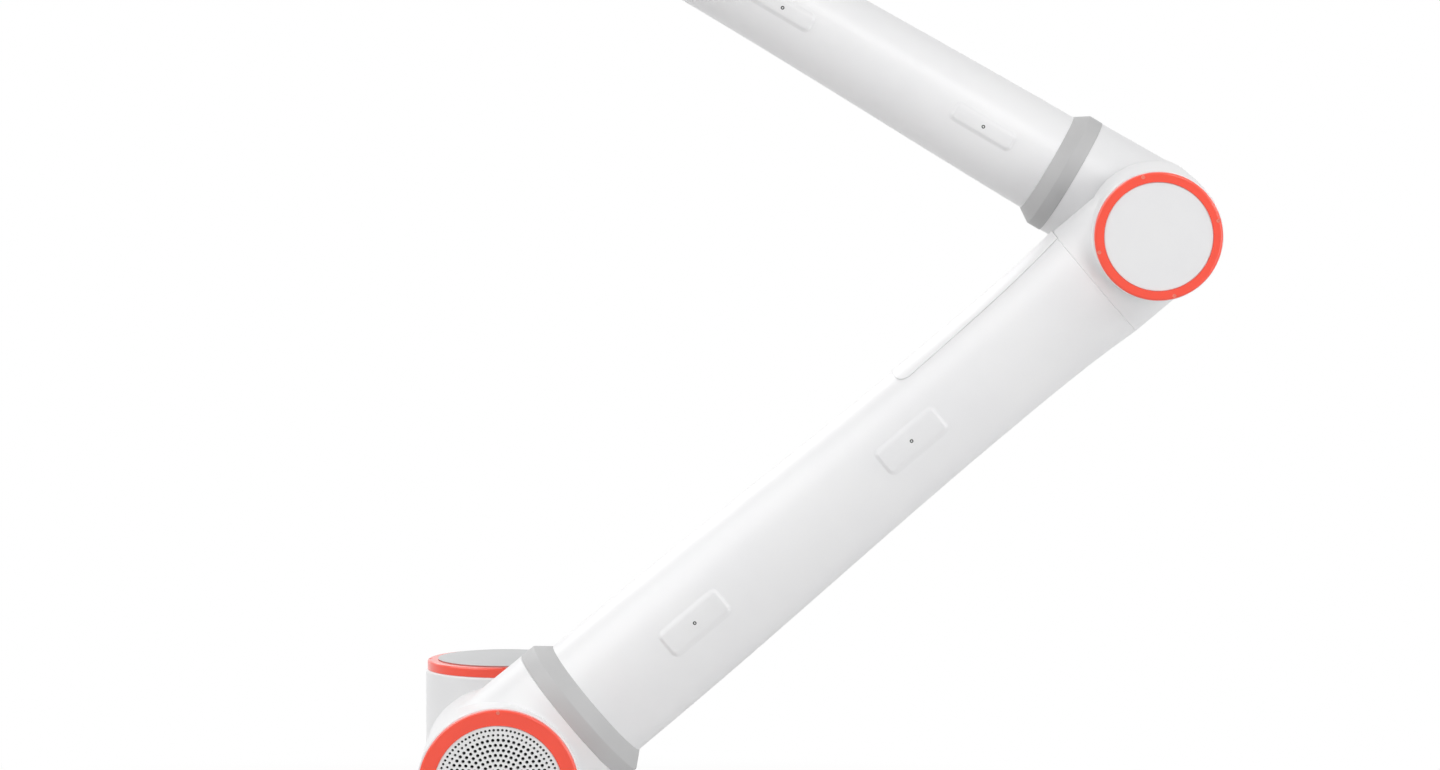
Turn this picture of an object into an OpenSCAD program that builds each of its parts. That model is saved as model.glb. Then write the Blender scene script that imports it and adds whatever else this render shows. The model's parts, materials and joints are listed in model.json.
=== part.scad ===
// Six-axis collaborative robot arm, posed with its upper arm raised and its forearm folded back.
// Origin: centre of the base mounting face, on the vertical axis of the first joint. +Z is up,
// and the grille side of the arm faces -Y. Lengths are in millimetres, angles in degrees.

/* [Resting pose] */
// Direction of the upper arm above the horizontal
upper_arm_lift = 40.1; // [20:0.1:70]
// Direction of the forearm, measured from the same horizontal
forearm_lift = 149.4; // [130:0.1:165]

/* [Arm lengths] */
// Mounting face to the horizontal shoulder axis
shoulder_h = 240; // [232:1:300]
// First axis to the centre plane of the upper arm
shoulder_offset = 172; // [171:1:200]
// Shoulder axis to elbow axis
upper_arm_len = 862; // [780:1:1000]
// Centre plane of the upper arm to centre plane of the forearm
elbow_offset = 131; // [131:1:160]
// Elbow axis to the first wrist axis
forearm_len = 728; // [680:1:900]
// Centre plane of the forearm to the second wrist axis
wrist_1_offset = 118; // [116:1:150]
// First wrist axis to the third wrist axis
wrist_2_offset = 118; // [116:1:150]
// Second wrist axis to the tool mounting face
wrist_3_offset = 98; // [92:1:130]

/* [Large drive, first and second joint] */
// Outer radius of the housing
big_r = 83; // [80:0.5:86]
// Crossing of its axes to the outer face of the cap
big_front = 100; // [96:0.5:110]
// Crossing of its axes to the driven face
big_rear = 84; // [83:0.5:86]
// Radius of the coloured ring under the cap
big_ring_r = 81.4; // [78:0.1:83]
// Width of the ring face
big_ring_w = 15.6; // [12:0.1:17]
// Radius of the hollow motor shaft bore
big_bore = 17; // [12:0.5:20]
// Length of the motor stator
big_stack = 46; // [36:1:50]
// Depth of the gear cup
big_cup = 34; // [28:1:36]

/* [Middle drive, elbow] */
// Outer radius of the housing
mid_r = 65.6; // [64:0.1:67]
// Crossing of its axes to the outer face of the cap
mid_front = 85; // [82:0.5:95]
// Crossing of its axes to the driven face
mid_rear = 66; // [66:0.5:68]
// Radius of the coloured ring under the cap
mid_ring_r = 64.2; // [60:0.1:65.4]
// Width of the ring face
mid_ring_w = 9.6; // [9:0.1:12]
// Radius of the hollow motor shaft bore
mid_bore = 13; // [10:0.5:16]
// Length of the motor stator
mid_stack = 36; // [30:1:40]
// Depth of the gear cup
mid_cup = 26; // [22:1:28]

/* [Small drive, wrist joints] */
// Outer radius of the housing
small_r = 52.5; // [51:0.5:54]
// Crossing of its axes to the outer face of the cap
small_front = 68; // [66:0.5:74]
// Crossing of its axes to the driven face
small_rear = 56; // [55:0.5:58]
// Radius of the coloured ring under the cap
small_ring_r = 51.3; // [48:0.1:52.4]
// Width of the ring face
small_ring_w = 8.6; // [8:0.1:11]
// Radius of the hollow motor shaft bore
small_bore = 9; // [7:0.5:11]
// Length of the motor stator
small_stack = 28; // [22:1:32]
// Depth of the gear cup
small_cup = 21; // [18:1:23]

/* [Drive details] */
// Wall of the cast housings
wall = 7; // [6:0.5:8]
// Thickness of the ring under each cap
ring_t = 10; // [8:0.5:12]
// Thickness of a cap plate
cap_t = 4; // [3:0.5:5]
// Depth of a cap face below its ring
cap_recess = 0.8; // [0.4:0.1:2]
// Width of the ledge that carries a cap
ledge_w = 3; // [2:0.5:5]
// Visible gap between two turning castings
joint_gap = 1; // [0.6:0.1:1.5]
// Thickness of the lip round the driven face
lip_t = 6; // [4:0.5:8]
// Width of that lip
lip_w = 9; // [7:0.5:11]
// Web that closes a driven casting
web_t = 7; // [5:0.5:9]
// Radial thickness of the rigid gear ring
spline_t = 7; // [5:0.5:9]
// Length of the rigid gear ring
spline_len = 12; // [9:0.5:14]
// Wall of the thin gear cup
cup_wall = 1.6; // [1.2:0.1:2.5]
// Floor of the gear cup
cup_floor = 5; // [4:0.5:7]
// Radial depth of the stator
stator_depth = 13; // [10:0.5:15]
// Number of winding slots in a stator
stator_slots = 18; // [12:6:24]
// Depth of a winding slot
slot_depth = 8; // [5:0.5:10]
// Radial depth of the magnet drum
magnet_depth = 5; // [4:0.5:7]
// Number of magnets round a drum
magnets = 20; // [14:2:28]
// Width of the groove between two magnets
magnet_groove = 1; // [0.6:0.1:2]
// Number of screw holes in a rigid gear ring
gear_ring_holes = 12; // [8:2:16]
// Radius of such a hole
gear_ring_hole_r = 1.7; // [1.2:0.1:2]
// Wall of the hollow motor shaft
shaft_wall = 3; // [2.5:0.5:4]
// Gap between magnets and stator
air_gap = 0.5; // [0.4:0.1:1]
// Running gap between gear parts and round the driven hub
run_gap = 0.4; // [0.3:0.05:0.6]
// Slip fit between pieces of one housing
fit = 0.05; // [0.03:0.01:0.1]

/* [Upper arm] */
// Shoulder axis to the end of the cast shoulder housing
upper_boss_len = 95; // [90:1:105]
// Radius of the housing at that end
upper_boss_r = 81; // [78:0.1:82]
// Length of the straight part of the collar
collar_len = 16; // [10:0.5:20]
// Length of the cone of the collar
collar_cone = 15; // [10:0.5:22]
// Radius of the tube at the collar
upper_root_r = 67.8; // [65:0.1:70]
// Smallest radius of the tube
upper_waist_r = 60.5; // [58:0.1:63]
// Distance of that waist from the seam at the elbow
upper_waist_back = 163; // [140:1:300]
// Distance of the tube seam from the elbow axis
elbow_boss_len = 79; // [76:1:90]
// Wall of the tubes
tube_wall = 5; // [4:0.5:7]

/* [Forearm] */
// Elbow axis to the end of the forearm root casting
fore_boss_len = 92; // [88:1:100]
// Radius of the casting at that end
fore_boss_r = 62.6; // [60:0.1:64]
// Length of the straight part of the collar
fore_collar_len = 14.5; // [10:0.5:20]
// Length of the cone of the collar
fore_collar_cone = 14; // [10:0.5:20]
// Radius of the tube at the collar
fore_root_r = 53.6; // [51:0.1:55]
// Smallest radius of the tube
fore_waist_r = 47.2; // [45:0.1:50]
// Distance of that waist from the seam at the wrist
fore_waist_back = 144; // [100:1:240]
// Distance of the tube seam from the first wrist axis
wrist_boss_len = 64; // [60:1:75]
// Radius of the wrist housing at that seam
wrist_boss_r = 50.5; // [49:0.1:51]

/* [Covers] */
// Length of an access cover
pad_len = 72; // [50:1:90]
// Width of an access cover on the upper arm
upper_pad_w = 28; // [20:1:36]
// Width of an access cover on the forearm
fore_pad_w = 20; // [14:1:28]
// Height of a cover above its tube
pad_t = 2.2; // [1:0.1:3]
// Gap between a cover and its tube
cover_gap = 0.2; // [0.15:0.05:0.4]
// Corner radius of a cover
pad_corner = 6; // [3:0.5:9]
// First cover on the upper arm, from the shoulder axis
upper_pad_1 = 257; // [220:1:320]
// Second cover on the upper arm
upper_pad_2 = 541; // [450:1:600]
// First cover on the forearm, from the elbow axis
fore_pad_1 = 198; // [180:1:240]
// Second cover on the forearm
fore_pad_2 = 435; // [380:1:500]
// Start of the cable cover on the upper arm
strip_start = 568; // [540:1:620]
// Half width of the cable cover at its start
strip_w0 = 36; // [30:1:50]
// Half width of the cable cover at the elbow
strip_w1 = 28; // [20:1:40]
// Height of the cable cover above the tube
strip_t = 1.4; // [0.8:0.1:2.5]

/* [Grille] */
// Distance between two rows of holes
grille_pitch = 5.1; // [4.8:0.1:5.6]
// Number of rows of round holes
grille_rows = 10; // [6:1:10]
// Radius of a hole
grille_hole_r = 1.7; // [1:0.05:1.8]
// Holes in the inner of the two rim rows
rim_holes_1 = 72; // [60:6:78]
// Holes in the outer rim row
rim_holes_2 = 90; // [72:6:96]
// Radius of a rim hole
rim_hole_r = 1.3; // [0.8:0.05:1.4]
// Thickness of the filter cloth behind the grille
filter_t = 2; // [1:0.5:3]

/* [Base] */
// Radius of the foot
foot_r = 100; // [98:0.5:102]
// Thickness of the foot
foot_t = 16; // [12:1:22]
// Radius of the column where it meets the foot
column_r = 76; // [72:0.5:78]
// Height over which the column widens
column_cone = 40; // [25:1:60]
// Number of mounting bolts
foot_bolts = 6; // [4:1:8]
// Radius of the bolt circle
foot_bolt_r = 89; // [87:0.5:91]
// Diameter of a bolt hole
foot_hole_d = 11; // [9:0.5:12]
// Diameter of a dowel hole
dowel_d = 8; // [6:1:10]
// Height of the cable socket on the base
socket_h = 78; // [70:1:95]
// Radius of the cable socket flange
socket_r = 19; // [15:0.5:22]
// How far the cable socket stands out
socket_out = 14; // [8:1:20]

/* [Tool flange] */
// Radius of the tool flange
flange_r = 50; // [49:0.5:51]
// Radius of the tool bolt circle
flange_bolt_r = 40; // [36:0.5:42]
// Number of tool bolts
flange_bolts = 6; // [4:1:8]
// Drilled diameter for the tool bolt threads
flange_thread_d = 6.8; // [5:0.1:8]
// Diameter of the centring bore
pilot_d = 50; // [40:0.5:56]
// Depth of the centring bore
pilot_depth = 6; // [5:0.5:8]
// Depth of the tool bolt holes
flange_thread_depth = 14; // [10:1:20]
// Radius of the tool plug socket
tool_socket_r = 7; // [5:0.5:8]

/* [Screws] */
// Shank radius of the ring screws
screw_r = 1.25; // [1:0.05:1.6]
// Head radius of the ring screws
screw_head_r = 1.9; // [1.9:0.1:3]
// Head height of the ring screws
screw_head_t = 2.4; // [1.6:0.1:3]
// Depth of the thread in the casting
screw_bite = 7; // [5:0.5:9]
// Number of screws in each ring
ring_screws = 4; // [3:1:6]

/* [Hidden] */
$fn = 96;
over = 1;
hole_fn = 24;
tube_steps = 24;
flare_power = 2.6;
upper_taper_start = 150;
upper_flare_len = 143;
fore_taper_start = 60;
fore_flare_len = 64;
edge = 2.5;
sharp = 0.3;
foot_edge = 1;
cap_edge = 0.8;
seam_chamfer = 0.6;
boss_draft = 1.6;
boss_extra = 4;
wrist_draft = 1;
collar_step = 0.4;
collar_proud = 0.6;
root_step = 1;
root_round = 22;
root_floor = 19;
spigot_root = 8;
head_recess = 0.8;
pin_recess = 0.2;
hex_r = 1;
hex_depth = 1.2;
pin_socket_r = 0.7;
pin_socket_depth = 0.8;
socket_pad = 4;
socket_rim = 3;
socket_plug = 10;
shaft_end = 12;
magnet_inset = 2;
drum_floor = 4;
brake_w = 12;
brake_z = 6;
brake_t = 3;
dowel_depth = 8;
tool_socket_rise = 4;
tool_socket_depth = 12;
spigot_len = 26;
spigot_step = 5.5;
strip_corner = 12;
screw_turn_big = 90;
screw_turn_mid = 15;
screw_turn_small = 45;

// A drive is [housing radius, cap reach, driven reach, ring radius, ring width, bore, stack, cup]
BIG = [big_r, big_front, big_rear, big_ring_r, big_ring_w, big_bore, big_stack, big_cup];
MID = [mid_r, mid_front, mid_rear, mid_ring_r, mid_ring_w, mid_bore, mid_stack, mid_cup];
SMALL = [small_r, small_front, small_rear, small_ring_r, small_ring_w, small_bore, small_stack, small_cup];

function housing_r(d) = d[0];
function cap_reach(d) = d[1];
function drive_reach(d) = d[2];
function ring_r(d) = d[3];
function ring_in(d) = d[3] - d[4];
function ring_mid(d) = d[3] - screw_head_r - 1;
function bore_r(d) = d[5];
function stack(d) = d[6];
function cup_depth(d) = d[7];
function seat_z(d) = cap_reach(d) - ring_t;
function cavity_r(d) = housing_r(d) - wall;
function hub_r(d) = cavity_r(d) - lip_w;
function lip_top(d) = lip_t - drive_reach(d);
function cup_bottom(d) = lip_top(d) + 1;
function cup_top(d) = cup_bottom(d) + cup_depth(d);
function spline_in(d) = cavity_r(d) - fit - spline_t;
function cup_r(d) = spline_in(d) - run_gap;
function stator_bottom(d) = cup_top(d) + 4;
function stator_in(d) = cavity_r(d) - fit - stator_depth;
function magnet_r(d) = stator_in(d) - air_gap;

elbow_x = upper_arm_len * cos(upper_arm_lift);
elbow_z = shoulder_h + upper_arm_len * sin(upper_arm_lift);
wrist_x = elbow_x + forearm_len * cos(forearm_lift);
wrist_z = elbow_z + forearm_len * sin(forearm_lift);
upper_y = -shoulder_offset;
fore_y = elbow_offset - shoulder_offset;
wrist_y = fore_y - wrist_1_offset;
collar_end = upper_boss_len + collar_len + collar_cone;
fore_collar_end = fore_boss_len + fore_collar_len + fore_collar_cone;
upper_seam = upper_arm_len - elbow_boss_len;
fore_seam = forearm_len - wrist_boss_len;
mid_boss_r = mid_r - collar_step;
socket_seat = big_r + 6;
base_top = shoulder_h - big_rear - joint_gap;
tool_top = -small_rear - joint_gap;

function ease(t) = t <= 0 ? 0 : t >= 1 ? 1 : (1 - cos(180 * t)) / 2;
function flare(s, from, to) = pow(max(0, (s - from) / (to - from)), flare_power);
function upper_tube_r(s) =
    upper_root_r
    + (upper_waist_r - upper_root_r)
        * ease((s - upper_taper_start) / (upper_seam - upper_waist_back - upper_taper_start))
    + (mid_boss_r - upper_waist_r) * flare(s, upper_seam - upper_flare_len, upper_seam);
function fore_tube_r(s) =
    fore_root_r
    + (fore_waist_r - fore_root_r)
        * ease((s - fore_taper_start) / (fore_seam - fore_waist_back - fore_taper_start))
    + (wrist_boss_r - fore_waist_r) * flare(s, fore_seam - fore_flare_len, fore_seam);

// Frames of the joints: local Z runs along the joint axis, towards the cap of its drive

module at_joint_1() {
    translate([0, 0, shoulder_h]) children();
}

module at_joint_2() {
    translate([0, upper_y, shoulder_h]) rotate([90, 0, 0]) children();
}

module at_joint_3() {
    translate([elbow_x, upper_y, elbow_z]) rotate([90, 0, 0]) children();
}

module at_forearm_root() {
    translate([elbow_x, fore_y, elbow_z]) rotate([90, 0, 0]) children();
}

module at_joint_4() {
    translate([wrist_x, fore_y, wrist_z]) rotate([-90, 0, 0]) children();
}

module at_joint_5() {
    translate([wrist_x, wrist_y, wrist_z]) rotate([0, 90, 0]) children();
}

module at_joint_6() {
    translate([wrist_x - wrist_2_offset, wrist_y, wrist_z]) children();
}

// Turns local Z into a direction of the local XY plane
module along(angle) {
    rotate([0, 0, angle]) rotate([0, 90, 0]) children();
}

module ring_copies(count, radius, turn = 0) {
    for (i = [0 : count - 1]) rotate([0, 0, turn + 360 / count * i]) translate([radius, 0, 0]) children();
}

// A plain cylinder between two heights
module disc(radius, z0, z1) {
    translate([0, 0, z0]) cylinder(r = radius, h = z1 - z0);
}

// A cylinder whose two rims are rounded
module drum(radius, z0, z1, low, high) {
    rotate_extrude() {
        translate([0, z0 + low]) square([radius, z1 - z0 - low - high]);
        translate([0, z0]) square([radius - low, low + over]);
        translate([radius - low, z0 + low]) intersection() {
            circle(r = low);
            translate([-low, -low]) square([2 * low, low]);
        }
        translate([0, z1 - high - over]) square([radius - high, high + over]);
        translate([radius - high, z1 - high]) intersection() {
            circle(r = high);
            translate([-high, 0]) square([2 * high, high]);
        }
    }
}

module tube(outer, inner, z0, z1) {
    difference() {
        disc(outer, z0, z1);
        disc(inner, z0 - over, z1 + over);
    }
}

// Cast T housing of one drive, with its side boss along the given direction
module t_housing(d, direction, boss_r0, boss_r1, boss_len, turn) {
    difference() {
        union() {
            drum(housing_r(d), -drive_reach(d), seat_z(d), edge, edge);
            along(direction) {
                cylinder(r1 = boss_r0, r2 = boss_r1, h = boss_len - seam_chamfer);
                translate([0, 0, boss_len - seam_chamfer])
                    cylinder(r1 = boss_r1, r2 = boss_r1 - seam_chamfer, h = seam_chamfer);
            }
        }
        disc(cavity_r(d), lip_top(d), seat_z(d) + over);
        disc(hub_r(d) + run_gap, -drive_reach(d) - over, lip_top(d) + over);
        along(direction) disc(boss_r1 - wall, 0, boss_len + over);
        ring_copies(ring_screws, ring_mid(d), turn)
            disc_hole(screw_r, seat_z(d) - screw_bite, seat_z(d) + over);
    }
}

// Ring that holds a cap, with a ledge under the cap and counterbored screw holes
module cap_ring(d, turn) {
    ledge_z = cap_reach(d) - cap_recess - cap_t;
    difference() {
        drum(ring_r(d), seat_z(d), cap_reach(d), seam_chamfer, edge);
        disc(ring_in(d), ledge_z, cap_reach(d) + over);
        disc(ring_in(d) - ledge_w, seat_z(d) - over, cap_reach(d));
        ring_copies(ring_screws, ring_mid(d), turn) {
            disc_hole(screw_r + fit, seat_z(d) - over, cap_reach(d) + over);
            disc_hole(screw_head_r + fit, cap_reach(d) - screw_head_t, cap_reach(d) + over);
        }
    }
}

module disc_hole(radius, z0, z1) {
    translate([0, 0, z0]) cylinder(r = radius, h = z1 - z0, $fn = hole_fn);
}

module cap_plate(d) {
    top = cap_reach(d) - cap_recess;
    drum(ring_in(d) - fit, top - cap_t, top, sharp, cap_edge);
}

module ring_screw_set(d, turn) {
    ring_copies(ring_screws, ring_mid(d), turn) difference() {
        union() {
            disc_hole(screw_head_r, cap_reach(d) - screw_head_t, cap_reach(d) - head_recess);
            disc_hole(screw_r - fit, seat_z(d) - screw_bite + fit, cap_reach(d) - screw_head_t);
        }
        translate([0, 0, cap_reach(d) - head_recess - hex_depth])
            cylinder(r = hex_r, h = hex_depth + over, $fn = 6);
    }
}

// Inner pieces of one drive
module stator(d) {
    z0 = stator_bottom(d);
    slot_w = PI * stator_in(d) / stator_slots;
    difference() {
        tube(cavity_r(d) - fit, stator_in(d), z0, z0 + stack(d));
        ring_copies(stator_slots, stator_in(d)) translate([-over, -slot_w / 2, z0 - over])
            cube([slot_depth + over, slot_w, stack(d) + 2 * over]);
    }
}

module gear_ring(d) {
    z1 = cup_top(d);
    difference() {
        tube(cavity_r(d) - fit, spline_in(d), z1 - spline_len, z1);
        ring_copies(gear_ring_holes, cavity_r(d) - spline_t / 2)
            disc_hole(gear_ring_hole_r, z1 - spline_len - over, z1 + over);
    }
}

module gear_cup(d) {
    difference() {
        union() {
            disc(cup_r(d), cup_bottom(d), cup_top(d));
            disc(hub_r(d), -drive_reach(d) - joint_gap, cup_bottom(d) + over);
        }
        disc(cup_r(d) - cup_wall, cup_bottom(d) + cup_floor, cup_top(d) + over);
        disc(bore_r(d), -drive_reach(d) - joint_gap - over, cup_top(d));
    }
}

module rotor(d) {
    z0 = stator_bottom(d);
    z1 = z0 + stack(d);
    wave_r = cup_r(d) - cup_wall - run_gap;
    difference() {
        union() {
            disc(bore_r(d) + shaft_wall, cup_bottom(d) + cup_floor + run_gap, z1 + shaft_end);
            disc(wave_r, cup_top(d) - spline_len, cup_top(d) - over);
            disc(magnet_r(d), z0 + magnet_inset, z1 - magnet_inset);
            disc(bore_r(d) + shaft_wall + brake_w, z1 + brake_z, z1 + brake_z + brake_t);
        }
        disc(bore_r(d), cup_bottom(d), z1 + shaft_end + over);
        ring_copies(magnets, magnet_r(d)) translate([-magnet_depth / 2, -magnet_groove / 2, z0])
            cube([magnet_depth, magnet_groove, stack(d)]);
        translate([0, 0, z0 + magnet_inset + drum_floor]) difference() {
            cylinder(r = magnet_r(d) - magnet_depth, h = stack(d));
            translate([0, 0, -over]) cylinder(r = bore_r(d) + shaft_wall, h = stack(d) + 2 * over);
        }
    }
}

// Base

module base_casting() {
    color("whitesmoke")
    difference() {
        union() {
            drum(foot_r, 0, foot_t, foot_edge, edge);
            translate([0, 0, foot_t - edge]) cylinder(r1 = column_r, r2 = big_r, h = column_cone + edge);
            drum(big_r, foot_t + column_cone, base_top, sharp, edge);
            disc(big_r, foot_t + column_cone, base_top - edge);
            translate([0, 0, socket_h]) rotate([-90, 0, 0]) disc(socket_r + socket_pad, 0, socket_seat);
        }
        disc(column_r - wall, -over, foot_t + column_cone + over);
        disc(cavity_r(BIG), foot_t + column_cone, base_top - web_t);
        disc(bore_r(BIG), base_top - web_t - over, base_top + over);
        translate([0, 0, socket_h]) rotate([-90, 0, 0]) disc(socket_r - socket_rim, 0, socket_seat + over);
        ring_copies(foot_bolts, foot_bolt_r, 30) disc_hole(foot_hole_d / 2, -over, foot_t + over);
        ring_copies(2, foot_bolt_r, 0) disc_hole(dowel_d / 2, -over, foot_t + over);
    }
}

module base_cable_socket() {
    color("dimgray")
    translate([0, 0, socket_h]) rotate([-90, 0, 0]) difference() {
        union() {
            disc(socket_r, socket_seat, socket_seat + socket_rim);
            disc(socket_r - socket_rim - over, socket_seat, big_r + socket_out);
            disc(socket_r - socket_rim - fit, socket_seat - socket_plug, socket_seat);
        }
        disc(socket_r - 2 * socket_rim - over, socket_seat - socket_rim, big_r + socket_out + over);
    }
}

// Shoulder

module shoulder_casting() {
    boss_len = shoulder_offset - big_rear - joint_gap;
    color("whitesmoke")
    at_joint_1() difference() {
        union() {
            drum(housing_r(BIG), -drive_reach(BIG), seat_z(BIG), edge, edge);
            rotate([90, 0, 0]) drum(upper_boss_r + boss_draft, 0, boss_len, sharp, edge);
        }
        disc(cavity_r(BIG), lip_top(BIG), seat_z(BIG) + over);
        disc(hub_r(BIG) + run_gap, -drive_reach(BIG) - over, lip_top(BIG) + over);
        rotate([90, 0, 0]) disc(cavity_r(BIG) - boss_extra, 0, boss_len - web_t);
        rotate([90, 0, 0]) disc(bore_r(BIG), 0, boss_len + over);
        ring_copies(ring_screws, ring_mid(BIG), screw_turn_big)
            disc_hole(screw_r, seat_z(BIG) - screw_bite, seat_z(BIG) + over);
    }
}

module shoulder_cap() {
    color("silver") at_joint_1() cap_plate(BIG);
}

module shoulder_cap_ring() {
    color("tomato") at_joint_1() cap_ring(BIG, screw_turn_big);
}

module shoulder_screws() {
    color("gray") at_joint_1() ring_screw_set(BIG, screw_turn_big);
}

// Upper arm

module upper_arm_shoulder_housing() {
    color("whitesmoke")
    at_joint_2() t_housing(BIG, upper_arm_lift, upper_boss_r + boss_draft, upper_boss_r, upper_boss_len,
        screw_turn_big);
}

module shoulder_grille() {
    color("white")
    at_joint_2() difference() {
        cap_plate(BIG);
        for (k = [1 : grille_rows]) ring_copies(6 * k, k * grille_pitch, 90 + k % 2 * 30 / k)
            disc_hole(grille_hole_r, cap_reach(BIG) - cap_recess - cap_t - over, cap_reach(BIG));
        ring_copies(rim_holes_1, (grille_rows + 1) * grille_pitch, 90)
            disc_hole(rim_hole_r, cap_reach(BIG) - cap_recess - cap_t - over, cap_reach(BIG));
        ring_copies(rim_holes_2, (grille_rows + 2) * grille_pitch, 90)
            disc_hole(rim_hole_r, cap_reach(BIG) - cap_recess - cap_t - over, cap_reach(BIG));
    }
}

module grille_filter() {
    top = cap_reach(BIG) - cap_recess - cap_t;
    color("black") at_joint_2() disc(ring_in(BIG) - ledge_w - fit, top - filter_t, top);
}

module shoulder_grille_ring() {
    color("tomato") at_joint_2() cap_ring(BIG, screw_turn_big);
}

// Collar between a cast housing and its tube
module collar(start, straight, cone, large_r, small_r, bore) {
    difference() {
        union() {
            disc(large_r, start, start + straight);
            translate([0, 0, start + straight]) cylinder(r1 = large_r, r2 = small_r, h = cone);
        }
        disc(bore, start - over, start + straight + cone + over);
    }
}

module upper_arm_collar() {
    color("darkgray")
    at_joint_2() along(upper_arm_lift)
        collar(upper_boss_len, collar_len, collar_cone, upper_boss_r, upper_root_r + collar_step,
            upper_root_r - spigot_step + fit);
}

function upper_stations(from, to, lift) =
    [for (i = [0 : tube_steps]) let (s = from + (to - from) * i / tube_steps) [upper_tube_r(s) + lift, s]];
function fore_stations(from, to, lift) =
    [for (i = [0 : tube_steps]) let (s = from + (to - from) * i / tube_steps) [fore_tube_r(s) + lift, s]];
// Chamfer where a tube of the given end radius meets a housing
function seam_end(radius, s) = [[radius, s - seam_chamfer], [radius - seam_chamfer, s]];
function back(list) = [for (i = [len(list) - 1 : -1 : 0]) list[i]];

// Step of a tube that slides into its collar, and the thick root that carries it
module tube_spigot(root_r, end) {
    inner = root_r - spigot_step - tube_wall;
    tube(root_r - spigot_step, inner, end - spigot_len, end);
    tube(root_r - 1, inner, end, end + spigot_root);
}

module upper_arm_tube() {
    color("white")
    at_joint_2() along(upper_arm_lift) {
        rotate_extrude() polygon(concat(
            upper_stations(collar_end, upper_seam - 2 * seam_chamfer, 0),
            seam_end(upper_tube_r(upper_seam), upper_seam),
            back(upper_stations(collar_end, upper_seam, -tube_wall))));
        tube_spigot(upper_root_r, collar_end);
    }
}

// Rounded rectangle, centred
module rounded(length, width, radius) {
    square([length - 2 * radius, width], center = true);
    square([length, width - 2 * radius], center = true);
    for (x = [-1, 1], y = [-1, 1])
        translate([x * (length / 2 - radius), y * (width / 2 - radius)]) circle(r = radius);
}

module upper_pad(s) {
    difference() {
        intersection() {
            rotate_extrude() polygon(concat(
                upper_stations(s - pad_len, s + pad_len, pad_t),
                back(upper_stations(s - pad_len, s + pad_len, cover_gap))));
            translate([0, 0, s]) rotate([0, -90, 0]) linear_extrude(height = 2 * upper_root_r)
                rounded(pad_len, upper_pad_w, pad_corner);
        }
        translate([0, 0, s]) rotate([0, -90, 0]) disc_hole(screw_r + fit, 0, 2 * upper_root_r);
    }
}

module upper_arm_access_covers() {
    color("whitesmoke")
    at_joint_2() along(upper_arm_lift) {
        upper_pad(upper_pad_1);
        upper_pad(upper_pad_2);
    }
}

// Outline of the cable cover: a long taper with two rounded corners
module strip_outline() {
    polygon([
        [strip_start, -strip_w0 + strip_corner], [strip_start + strip_corner, -strip_w0],
        [upper_seam, -strip_w1], [upper_seam, strip_w1],
        [strip_start + strip_corner, strip_w0], [strip_start, strip_w0 - strip_corner]
    ]);
    for (y = [-1, 1])
        translate([strip_start + strip_corner, y * (strip_w0 - strip_corner)]) circle(r = strip_corner);
}

module upper_arm_cable_cover() {
    color("white")
    at_joint_2() along(upper_arm_lift) intersection() {
        rotate_extrude() polygon(concat(
            upper_stations(strip_start - 10, upper_seam - fit, strip_t),
            back(upper_stations(strip_start - 10, upper_seam - fit, cover_gap))));
        rotate([-90, -90, 0]) linear_extrude(height = 2 * upper_root_r) strip_outline();
    }
}

module elbow_housing() {
    color("whitesmoke")
    at_joint_3() t_housing(MID, upper_arm_lift + 180, mid_boss_r, mid_boss_r, elbow_boss_len, screw_turn_mid);
}

module elbow_cap() {
    color("gainsboro") at_joint_3() cap_plate(MID);
}

module elbow_cap_ring() {
    color("tomato") at_joint_3() cap_ring(MID, screw_turn_mid);
}

module upper_arm_screws() {
    color("gray") {
        at_joint_2() ring_screw_set(BIG, screw_turn_big);
        at_joint_3() ring_screw_set(MID, screw_turn_mid);
        at_joint_2() along(upper_arm_lift) for (s = [upper_pad_1, upper_pad_2])
            translate([0, 0, s]) rotate([0, -90, 0]) pad_pin(upper_tube_r(s));
    }
}

// Small screw that holds an access cover, seated in the cover
module pad_pin(tube_r) {
    top = tube_r + pad_t - pin_recess;
    difference() {
        disc_hole(screw_r, tube_r + cover_gap, top);
        disc_hole(pin_socket_r, top - pin_socket_depth, top + over);
    }
}

// Forearm

module forearm_root_casting() {
    front = elbow_offset - mid_rear - joint_gap;
    root_r = mid_r - root_step;
    color("whitesmoke")
    at_forearm_root() difference() {
        union() {
            drum(root_r, -root_r, front, root_round, edge);
            along(forearm_lift) cylinder(r1 = fore_boss_r + boss_draft, r2 = fore_boss_r, h = fore_boss_len);
        }
        disc(root_r - wall, -root_r + root_floor, front - web_t);
        disc(bore_r(MID), 0, front + over);
        along(forearm_lift) disc(fore_boss_r - wall, 0, fore_boss_len + over);
    }
}

module forearm_collar() {
    color("darkgray")
    at_forearm_root() along(forearm_lift)
        collar(fore_boss_len, fore_collar_len, fore_collar_cone,
            fore_boss_r + collar_proud, fore_root_r + collar_step, fore_root_r - spigot_step + fit);
}

module forearm_tube() {
    color("white")
    at_forearm_root() along(forearm_lift) {
        rotate_extrude() polygon(concat(
            fore_stations(fore_collar_end, fore_seam - 2 * seam_chamfer, 0),
            seam_end(fore_tube_r(fore_seam), fore_seam),
            back(fore_stations(fore_collar_end, fore_seam, -tube_wall))));
        tube_spigot(fore_root_r, fore_collar_end);
    }
}

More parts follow.
